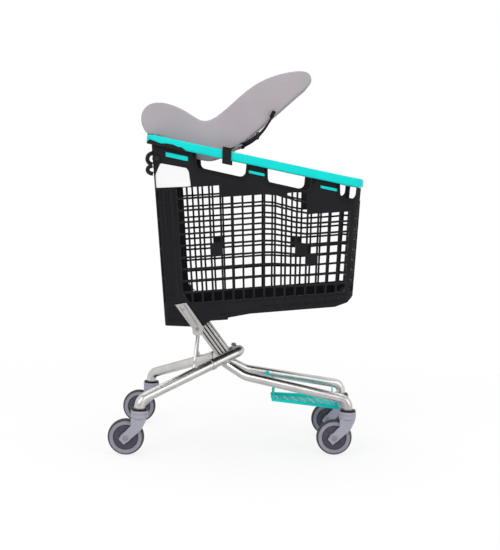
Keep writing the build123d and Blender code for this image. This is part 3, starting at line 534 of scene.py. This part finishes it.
def hinge_loops():
    """Moulded loops that carry the gate's hinge, standing out behind the rear corner."""
    parts = []
    upper = [(-306, 1032), (-323, 1024), (-327, 1008), (-320, 996), (-308, 992)]
    lower = [(-308, 988), (-322, 982), (-325, 970), (-316, 962), (-305, 960)]
    for side in (1, -1):
        y = side * (half_at(990) - 5)
        for path in (upper, lower):
            points = rounded([mm(x, y, z) for x, z in path], 0.012)
            parts.append(sweep(points, soft_rectangle(0.014, 0.009, 0.003, 3), Vector((0, 1, 0))))
        centre = mm(rear_at(1012) + 15, side * (half_at(1012) + 3.2), 1012)
        ring = [centre + Vector((cos(a), 0, sin(a))) * 0.0125 for a in [2 * pi * i / 28 for i in range(28)]]
        parts.append(sweep(ring, disc(0.0026, 8), Vector((0, 1, 0)), closed=True))
    add_piece("hinge_loops", *merged(parts), "black_plastic")


def plate_frames():
    """Thin raised frame round each label plate and each teal insert."""
    x0, x1 = rear_at(998) + 26, rear_at(998) + 124
    label = [(x0, 998), (x1 - 8, 985), (x1, 974), (x1 + 9, 922),
             (rear_at(912) + 4, 912), (rear_at(955) + 5, 957)]
    parts = []
    section = soft_rectangle(0.0016, 0.006, 0.0006, 2)
    inserts = ((-265, -187, 17, 17), (18, 74, 19, 11), (264, 322, 18, 11))
    outlines = [label]
    for a, b, drop, height in inserts:
        za, zb = rim_bottom(a) - drop, rim_bottom(b) - drop
        outlines.append([(a, za), (b, zb), (b, zb - height), (a, za - height)])
    for outline in outlines:
        for side in (1, -1):
            points = rounded([on_wall(x, z, side) for x, z in outline], 0.006, 4, closed=True)
            parts.append(sweep(points, section, Vector((0, 1, 0)), closed=True))
    add_piece("plate_frames", *merged(parts), "black_plastic")


# ------------------------------------------------------------------ seat
def evaluated_mesh(piece):
    graph = bpy.context.evaluated_depsgraph_get()
    graph.update()
    return bpy.data.meshes.new_from_object(piece.evaluated_get(graph))


def soft_copy(node, name, voxel, rounds, slot):
    """A remeshed, smoothed copy of a plain CAD solid."""
    piece = bpy.data.objects.new(name, NODES[node].data.copy())
    bpy.context.collection.objects.link(piece)
    remesh = piece.modifiers.new("remesh", "REMESH")
    remesh.mode = "VOXEL"
    remesh.voxel_size = voxel
    smooth = piece.modifiers.new("smooth", "SMOOTH")
    smooth.factor = 0.5
    smooth.iterations = rounds
    mesh = evaluated_mesh(piece)
    piece.modifiers.clear()
    piece.data = mesh
    mesh.materials.clear()
    mesh.materials.append(MATERIALS[slot])
    for face in mesh.polygons:
        face.use_smooth = True
    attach(piece, "cart")
    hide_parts(node)
    return piece


def seat_body():
    piece = soft_copy("seat_shell", "seat_body", 0.005, 7, "seat_foam")
    for vertex in piece.data.vertices:
        vertex.co += vertex.normal * 0.0008
    return piece


def back_axes():
    rise, run = BACK_HEAD[1] - BACK_FOOT[1], BACK_HEAD[0] - BACK_FOOT[0]
    along = Vector((run, 0, rise)).normalized()
    away = Vector((-along.z, 0, along.x))
    origin = mm(BACK_FOOT[0], 0, BACK_FOOT[1]) + away * ((LINER_T + STRAP_GAP) * along.x) / 1000
    return origin, along, away


def liner_cover():
    """Padded liner: blown up by cloth pressure, then quilted across and along its edges."""
    piece = soft_copy("seat_liner", "liner_cover", 0.0055, 3, "seat_fabric")
    mesh = piece.data
    for vertex in mesh.vertices:
        vertex.co -= vertex.normal * 0.0035
    start = [vertex.co.copy() for vertex in mesh.vertices]
    cloth = piece.modifiers.new("cloth", "CLOTH")
    cloth.settings.use_pressure = True
    cloth.settings.uniform_pressure_force = 4
    cloth.settings.effector_weights.gravity = 0
    cloth.settings.quality = 4
    for step in range(1, 17):
        bpy.context.scene.frame_set(step)
    blown = evaluated_mesh(piece)
    places = [vertex.co.copy() for vertex in blown.vertices]
    piece.modifiers.clear()
    bpy.context.scene.frame_set(1)
    for vertex, before, after in zip(mesh.vertices, start, places):
        move = after - before
        vertex.co = before + (move if move.length < PUFF_LIMIT else move.normalized() * PUFF_LIMIT)
    bpy.data.meshes.remove(blown)
    origin, along, _ = back_axes()
    for vertex in mesh.vertices:
        if vertex.normal.z > 0.3:
            up_back = (vertex.co - origin).dot(along) * 1000
            across = abs(vertex.co.y) * 1000
            lines = [abs((up_back + 400) % QUILT_PITCH - QUILT_PITCH / 2), abs(across - QUILT_SIDE)]
            dip = max(2.718 ** -((gap / 5.0) ** 2) for gap in lines)
            vertex.co -= vertex.normal * QUILT_DEPTH * dip
    fold = piece.modifiers.new("fine", "SUBSURF")
    fold.levels = 1
    fold.render_levels = 1


def ribbon(points, widths, width_dir, thickness=0.0018):
    """Webbing band with thicker selvedges; width_dir is the direction of its width."""
    verts, faces = [], []
    profile = ((-1, 0.5), (-0.93, 0.72), (-0.8, 0.5), (0.8, 0.5), (0.93, 0.72), (1, 0.5),
               (1, -0.5), (0.93, -0.72), (0.8, -0.5), (-0.8, -0.5), (-0.93, -0.72), (-1, -0.5))
    count, ring = len(points), len(profile)
    for index, point in enumerate(points):
        ahead = (points[min(index + 1, count - 1)] - points[max(index - 1, 0)]).normalized()
        across = width_dir if not callable(width_dir) else width_dir(ahead)
        face_up = ahead.cross(across).normalized()
        half = widths[index] / 2 if isinstance(widths, list) else widths / 2
        verts += [point + across * half * u + face_up * thickness * v for u, v in profile]
    for index in range(count - 1):
        for turn in range(ring):
            follow = (turn + 1) % ring
            a, b = index * ring, (index + 1) * ring
            faces.append((a + turn, a + follow, b + follow, b + turn))
    faces += [tuple(range(ring)), tuple((count - 1) * ring + turn for turn in range(ring))]
    return verts, faces


def stitches(points, width_dir, width, face_up, pitch=0.0036):
    """Short threads along both edges of a band."""
    parts = []
    for start, end in zip(points, points[1:]):
        run = end - start
        ahead = run.normalized()
        across = width_dir if not callable(width_dir) else width_dir(ahead)
        for step in range(int(run.length / pitch)):
            for edge in (-0.36, 0.36):
                at = start + ahead * (step + 0.2) * pitch + across * width * edge + face_up * 0.0012
                path = [at, at + ahead * pitch * 0.3 + face_up * 0.0002, at + ahead * pitch * 0.62]
                parts.append(sweep(path, disc(0.00035, 5), face_up))
    return parts


def harness():
    origin, along, away = back_axes()
    left = Vector((0, 1, 0))
    lift = away * 0.0028

    def at(up, across, rise=0.0):
        return origin + along * up / 1000 + left * across / 1000 + lift + away * rise / 1000

    bands, threads = [], []
    routes = []
    for side in (-1, 1):
        shoulder = [(BUCKLE_UP + 20, side * 11, 3), (BUCKLE_UP + 45, side * 18, 2), (150, side * 36, 0.5),
                    (185, side * 45, 0), (212, side * 52, 0)]
        lap = [(BUCKLE_UP + 1, side * 20, 3), (BUCKLE_UP, side * 45, 1.5),
               (64, side * 85, 0), (62, side * 145, 0)]
        routes += [(shoulder, 17), (lap, 20)]
    routes.append(([(BUCKLE_UP - 20, 0, 3), (BUCKLE_UP - 38, 0, 1), (BUCKLE_UP - 57, 0, 0)], 23))
    for route, width in routes:
        points = [at(*place) for place in route]
        fine = []
        for start, end in zip(points, points[1:]):
            fine += [start.lerp(end, step / 4) for step in range(4)]
        fine.append(points[-1])
        across = (lambda ahead: away.cross(ahead).normalized())
        bands.append(ribbon(fine, width / 1000, across))
        threads += stitches(fine, across, width / 1000, away)
    piece = add_piece("harness_webbing", *merged(bands), "webbing")
    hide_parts("harness_straps")
    add_piece("harness_stitches", *merged(threads), "webbing", material=STITCH)
    guides = []
    for side in (-1, 1):
        start = at(206, side * 50)
        corners = ((-0.005, -0.014), (-0.005, 0.014), (0.006, 0.014), (0.006, -0.014))
        loop = rounded([start + along * a + left * b for a, b in corners], 0.004, 4, closed=True)
        guides.append(sweep(loop, disc(0.0018, 8), away, closed=True))
    add_piece("harness_guides", *merged(guides), "black_plastic")


def side_ties():
    """Webbing from the seat back to the rim hook: clip, slack strap, adjuster and free end."""
    straps, hard, pale = [], [], []
    for side in (1, -1):
        y = side * (SEAT_HALF + 9.0)
        points = rounded([mm(x, y, z) for x, z in TIE_ROUTE], 0.016, 4)
        in_plane = lambda ahead: Vector((-ahead.z, 0, ahead.x))
        straps.append(ribbon(points, 0.007, in_plane, 0.0016))
        body = [mm(x, y, z) for x, z in TIE_ADJUSTER]
        section = soft_rectangle(0.011, 0.007, 0.0028, 3)
        hard.append(sweep(rounded(body, 0.012, 5), section, Vector((0, 1, 0))))
        for place in (TIE_ADJUSTER[0], TIE_ADJUSTER[-1]):
            ring = [mm(place[0], y, place[1]) + Vector((cos(a), 0, sin(a))) * 0.0065
                    for a in [2 * pi * i / 16 for i in range(16)]]
            hard.append(sweep(ring, disc(0.0022, 6), Vector((0, 1, 0)), closed=True))
        clip = [mm(98, y, 1188), mm(88, y, 1166)]
        hard.append(sweep(clip, soft_rectangle(0.013, 0.008, 0.002, 2), Vector((0, 1, 0))))
        tail = [mm(-4, y + side * 2, 1072), mm(-24, y + side * 3, 1062), mm(-41, y + side * 3, 1050)]
        pale.append(ribbon(tail, 0.005, in_plane, 0.0012))
    piece = add_piece("tie_webbing", *merged(straps), "webbing")
    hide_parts("tie_straps")
    add_piece("tie_adjusters", *merged(hard), "black_plastic")
    add_piece("tie_tails", *merged(pale), "webbing", material=STITCH)


def foot_ties():
    """Clips on the seat's foot end, each with a thin strap down to the rim."""
    hard, straps = [], []
    for side in (1, -1):
        y = side * 118
        hard.append(sweep([mm(-353.5, y, 1158), mm(-354.5, y, 1146), mm(-352.5, y, 1132)],
                          soft_rectangle(0.022, 0.007, 0.0025, 3), Vector((1, 0, 0))))
        hard.append(sweep([mm(-331, y, 1104), mm(-333, y, 1090), mm(-330, y, 1078)],
                          soft_rectangle(0.018, 0.005, 0.002, 3), Vector((1, 0, 0))))
        route = [mm(-353.5, y, 1136), mm(-348, y, 1120), mm(-338, y, 1106), mm(-332, y, 1094)]
        straps.append(ribbon(rounded(route, 0.01, 4), 0.01, Vector((0, 1, 0)), 0.0014))
    add_piece("foot_tie_clips", *merged(hard), "black_plastic")
    add_piece("foot_tie_straps", *merged(straps), "webbing")


def buckle_relief():
    """Raised border and two grip ribs on the buckle's face."""
    origin, along, away = back_axes()
    left = Vector((0, 1, 0))
    face = origin + along * BUCKLE_UP / 1000 + away * 0.0155
    parts = []
    corners = ((-0.018, -0.016), (-0.018, 0.016), (0.018, 0.016), (0.018, -0.016))
    frame_line = rounded([face + along * a + left * b for a, b in corners], 0.006, 5, closed=True)
    parts.append(sweep(frame_line, disc(0.0008, 6), away, closed=True))
    for place in (-0.014, 0.014):
        rib = [face + along * place + left * b for b in (-0.009, 0.0, 0.009)]
        parts.append(sweep(rib, disc(0.0007, 6), away))
    add_piece("buckle_relief", *merged(parts), "black_plastic")


# ------------------------------------------------------------------ chassis and castors
def wheel_relief():
    """Rings, spokes and tread grooves on each wheel."""
    for name in CASTORS:
        low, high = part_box(name + "_tyre")
        centre = (Vector(low) + Vector(high)) / 2
        half = (high[1] - low[1]) / 2
        covers, treads = [], []
        axis = Vector((0, 1, 0))

        def circle(radius, y, steps=48):
            return [Vector((centre.x + radius * cos(a), y, centre.z + radius * sin(a)))
                    for a in [2 * pi * i / steps for i in range(steps)]]

        for side in (-1, 1):
            face = centre.y + side * (half - 0.003)
            for radius in (0.0225, 0.0405):
                covers.append(sweep(circle(radius, face), disc(0.0009, 6), axis, closed=True))
            for spoke in range(6):
                angle = pi / 3 * spoke + 0.3
                ray = Vector((cos(angle), 0, sin(angle)))
                base = Vector((centre.x, face, centre.z))
                covers.append(sweep([base + ray * 0.024, base + ray * 0.039], disc(0.001, 6), axis))
            line = circle(0.0592, centre.y + side * (half - 0.001), 64)
            treads.append(sweep(line, disc(0.0007, 6), axis, closed=True))
        add_piece(name + "_cover_relief", *merged(covers), "wheel_cover", body=name + "_wheel")
        add_piece(name + "_tread_lines", *merged(treads), "tyre", body=name + "_wheel")


def fork_relief():
    """Raised collar on each castor neck and a cap on each axle end."""
    for name in CASTORS:
        low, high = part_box(name + "_fork")
        wheel_low, wheel_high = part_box(name + "_hub")
        neck = Vector((high[0] - 0.0295, (low[1] + high[1]) / 2, high[2] - 0.004))
        ring = [neck + Vector((cos(a), sin(a), 0)) * 0.0295 for a in [2 * pi * i / 48 for i in range(48)]]
        parts = [sweep(ring, soft_rectangle(0.0014, 0.004, 0.0005, 2), Vector((0, 0, 1)), closed=True)]
        axle = Vector(((wheel_low[0] + wheel_high[0]) / 2, 0, (wheel_low[2] + wheel_high[2]) / 2))
        for y in (low[1] - 0.0004, high[1] + 0.0004):
            cap = [Vector((axle.x + 0.0098 * cos(a), y, axle.z + 0.0098 * sin(a)))
                   for a in [2 * pi * i / 28 for i in range(28)]]
            parts.append(sweep(cap, disc(0.0007, 6), Vector((0, 1, 0)), closed=True))
        add_piece(name + "_fork_relief", *merged(parts), "fork_grey", body=name + "_swivel")


def weld_beads():
    """Uneven weld round each collar edge, where the legs enter the yoke."""
    apex, corner = mm(*YOKE_APEX), mm(*LEG_CORNER)
    centre = apex + (corner - apex) * COLLAR_SHARE
    axis = (corner - apex).normalized()
    parts = []
    for mirror_y in (1, -1):
        place = Vector((centre.x, centre.y * mirror_y, centre.z))
        along = Vector((axis.x, axis.y * mirror_y, axis.z))
        side = along.cross(Vector((0, 0, 1))).normalized()
        lift = side.cross(along)
        for shift in (-COLLAR_HALF, COLLAR_HALF):
            ring = []
            for i in range(60):
                angle = 2 * pi * i / 60
                wave = 0.0185 + 0.0006 * noise.noise(Vector((angle * 3, shift * 900, mirror_y)))
                ring.append(place + along * shift + side * wave * cos(angle) + lift * wave * sin(angle))
            parts.append(sweep(ring, disc(0.0016, 6), along, closed=True))
    add_piece("collar_welds", *merged(parts), "tube_steel")


def mast_lines():
    """Dark strips as painted shade in the bottoms of the grooves down the mast, and the edge lines of each
    carrier arm in the same dark material.
    """
    top, foot = mm(*MAST_TOP), mm(*MAST_FOOT)
    along = (foot - top).normalized()
    across = Vector((0, 1, 0))
    deep = along.cross(across).normalized()
    run = (foot - top).length
    ends = (top + along * 0.004, top + along * (run - 0.004))
    strip = soft_rectangle(0.0044, 0.0006, 0.0002, 2)
    parts = []
    for step in (-1, 0, 1):
        for side in (-1, 1):
            flank = across * side * (MAST_W / 2 - 1.2) / 1000 + deep * step * MAST_D / 4000
            parts.append(sweep([end + flank for end in ends], strip, across))
            face = deep * side * (MAST_D / 2 - 1.2) / 1000 + across * step * MAST_W / 4000
            parts.append(sweep([end + face for end in ends], strip, deep))
    low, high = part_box("carrier_arm_right")
    face = max(abs(low[1]), abs(high[1])) * 1000
    (x0, z0), (x1, z1) = ARM_LINE
    lean = Vector((x1 - x0, 0, z1 - z0)).normalized()
    out = Vector((-lean.z, 0, lean.x))
    for side in (-1, 1):
        for shift in (-8.6, 8.6):
            y = side * (face - 1.9)
            line = [mm(x, y, z) + out * shift / 1000 for x, z in ARM_LINE]
            parts.append(sweep(line, soft_rectangle(0.0016, 0.0007, 0.0002, 2), across))
    add_piece("mast_groove_lines", *merged(parts), "tube_steel", material=GROOVE_SHADE)


def tray_lip():
    _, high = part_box("lower_tray")
    plan = [(134, -58), (372, -100), (372, 100), (134, 58)]
    slope = -12.0 / 238.0
    corners = [mm(x, y, high[2] * 1000 + slope * (x - plan[0][0])) for x, y in plan]
    path = rounded(corners, 0.008, 4, closed=True)
    add_piece("tray_lip", *sweep(path, disc(0.0024, 8), Vector((0, 0, 1)), closed=True), "teal_plastic")


def arm_screws():
    """Socket screws that hold each carrier arm to the tub."""
    low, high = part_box("carrier_arm_right")
    parts = []
    for side in (1, -1):
        face = side * max(abs(low[1]), abs(high[1]))
        for x, z in ((-186, 500), (-137, 434)):
            centre = mm(x, 0, z) + Vector((0, face - side * 0.0012, 0))
            for radius, depth in ((0.0052, 0.0), (0.0026, 0.0012)):
                ring = [centre + Vector((cos(a) * radius, side * depth, sin(a) * radius))
                        for a in [2 * pi * i / 24 for i in range(24)]]
                parts.append(sweep(ring, disc(0.0013, 6), Vector((0, 1, 0)), closed=True))
    add_piece("arm_screws", *merged(parts), "steel")


# ------------------------------------------------------------------ stage
def studio():
    """White floor and backdrop, soft lamps, and three dark cards that only glossy rays see."""
    world = bpy.data.worlds.new("studio")
    bpy.context.scene.world = world
    world.use_nodes = True
    nodes, links = world.node_tree.nodes, world.node_tree.links
    background = nodes["Background"]
    background.inputs["Color"].default_value = (1, 1, 1, 1)
    rays = nodes.new("ShaderNodeLightPath")
    seen = nodes.new("ShaderNodeMath")
    seen.operation = "MAXIMUM"
    links.new(rays.outputs["Is Camera Ray"], seen.inputs[0])
    links.new(rays.outputs["Is Transmission Ray"], seen.inputs[1])
    shiny = nodes.new("ShaderNodeMath")
    shiny.operation = "MAXIMUM"
    links.new(seen.outputs[0], shiny.inputs[0])
    links.new(rays.outputs["Is Glossy Ray"], shiny.inputs[1])
    links.new(spread(nodes, links, shiny.outputs[0], 0.72, 1.0), background.inputs["Strength"])

    bpy.ops.mesh.primitive_plane_add(size=30, location=(0, 0, 0))
    floor = bpy.context.object
    floor.name = "floor"
    material, nodes, links, shader = new_material("floor")
    shader.inputs["Base Color"].default_value = (0.93, 0.93, 0.93, 1)
    shader.inputs["Roughness"].default_value = 0.9
    bright = nodes.new("ShaderNodeEmission")
    bright.inputs["Color"].default_value = (1, 1, 1, 1)
    blend = nodes.new("ShaderNodeMixShader")
    rays = nodes.new("ShaderNodeLightPath")
    place = nodes.new("ShaderNodeTexCoord")
    reach = nodes.new("ShaderNodeVectorMath")
    reach.operation = "LENGTH"
    links.new(place.outputs["Object"], reach.inputs[0])
    fade = nodes.new("ShaderNodeMath")
    fade.operation = "MULTIPLY"
    links.new(rays.outputs["Is Camera Ray"], fade.inputs[0])
    links.new(spread(nodes, links, reach.outputs["Value"], 0.8, 1.0, 0.6, 2.2), fade.inputs[1])
    links.new(fade.outputs[0], blend.inputs["Fac"])
    links.new(shader.outputs["BSDF"], blend.inputs[1])
    links.new(bright.outputs["Emission"], blend.inputs[2])
    links.new(blend.outputs["Shader"], nodes["Material Output"].inputs["Surface"])
    floor.data.materials.append(material)

    def card(name, place, size, turn, grey):
        """Dark panel that only mirror-like surfaces see, for the streaks in the tubes."""
        bpy.ops.mesh.primitive_plane_add(size=1, location=place, rotation=[radians(a) for a in turn])
        panel = bpy.context.object
        panel.name = name
        panel.scale = (size[0], size[1], 1)
        material, _, _, shader = new_material(name)
        shader.inputs["Base Color"].default_value = (grey, grey, grey, 1)
        shader.inputs["Roughness"].default_value = 1.0
        panel.data.materials.append(material)
        panel.visible_camera = False
        panel.visible_diffuse = False
        panel.visible_shadow = False
        panel.visible_transmission = False

    card("card_high", (0.0, -1.7, 3.0), (6.0, 1.1), (35, 0, 0), 0.02)
    card("card_low", (0.0, -3.2, 0.3), (6.0, 0.5), (80, 0, 0), 0.1)
    card("card_back", (0.0, 2.6, 1.3), (5.0, 0.5), (-80, 0, 0), 0.04)

    def lamp(name, place, size, energy):
        data = bpy.data.lights.new(name, "AREA")
        data.size = size
        data.energy = energy
        lamp_object = bpy.data.objects.new(name, data)
        bpy.context.collection.objects.link(lamp_object)
        lamp_object.location = place
        aim = Vector((0, 0, 0.6)) - Vector(place)
        lamp_object.rotation_euler = aim.to_track_quat("-Z", "Y").to_euler()

    lamp("key", (-1.6, -3.0, 2.6), 2.0, 46)
    lamp("fill", (2.6, -2.2, 1.6), 2.4, 22)
    lamp("top", (0.0, 0.6, 3.4), 2.4, 30)


def camera():
    data = bpy.data.cameras.new("camera")
    data.lens = LENS
    data.sensor_width = SENSOR
    pitch, roll, yaw = radians(CAMERA_PITCH), radians(CAMERA_ROLL), radians(CAMERA_YAW)
    ahead = Vector((sin(yaw) * cos(pitch), cos(yaw) * cos(pitch), -sin(pitch)))
    level = Vector((cos(yaw), -sin(yaw), 0))
    above = level.cross(ahead)
    right = level * cos(roll) + above * sin(roll)
    up = above * cos(roll) - level * sin(roll)
    piece = bpy.data.objects.new("camera", data)
    bpy.context.collection.objects.link(piece)
    axes = Matrix((right, up, -ahead)).transposed().to_4x4()
    piece.matrix_world = Matrix.Translation(CAMERA_AT) @ axes
    bpy.context.scene.camera = piece


paint_nodes()
rim()
rear_cover()
hand_hole_lips()
corner_ribs()
tub_relief()
hinge_loops()
plate_frames()
seat_body()
liner_cover()
harness()
side_ties()
foot_ties()
buckle_relief()
wheel_relief()
fork_relief()
weld_beads()
mast_lines()
tray_lip()
arm_screws()
studio()
camera()
bpy.context.scene.view_settings.view_transform = "Standard"
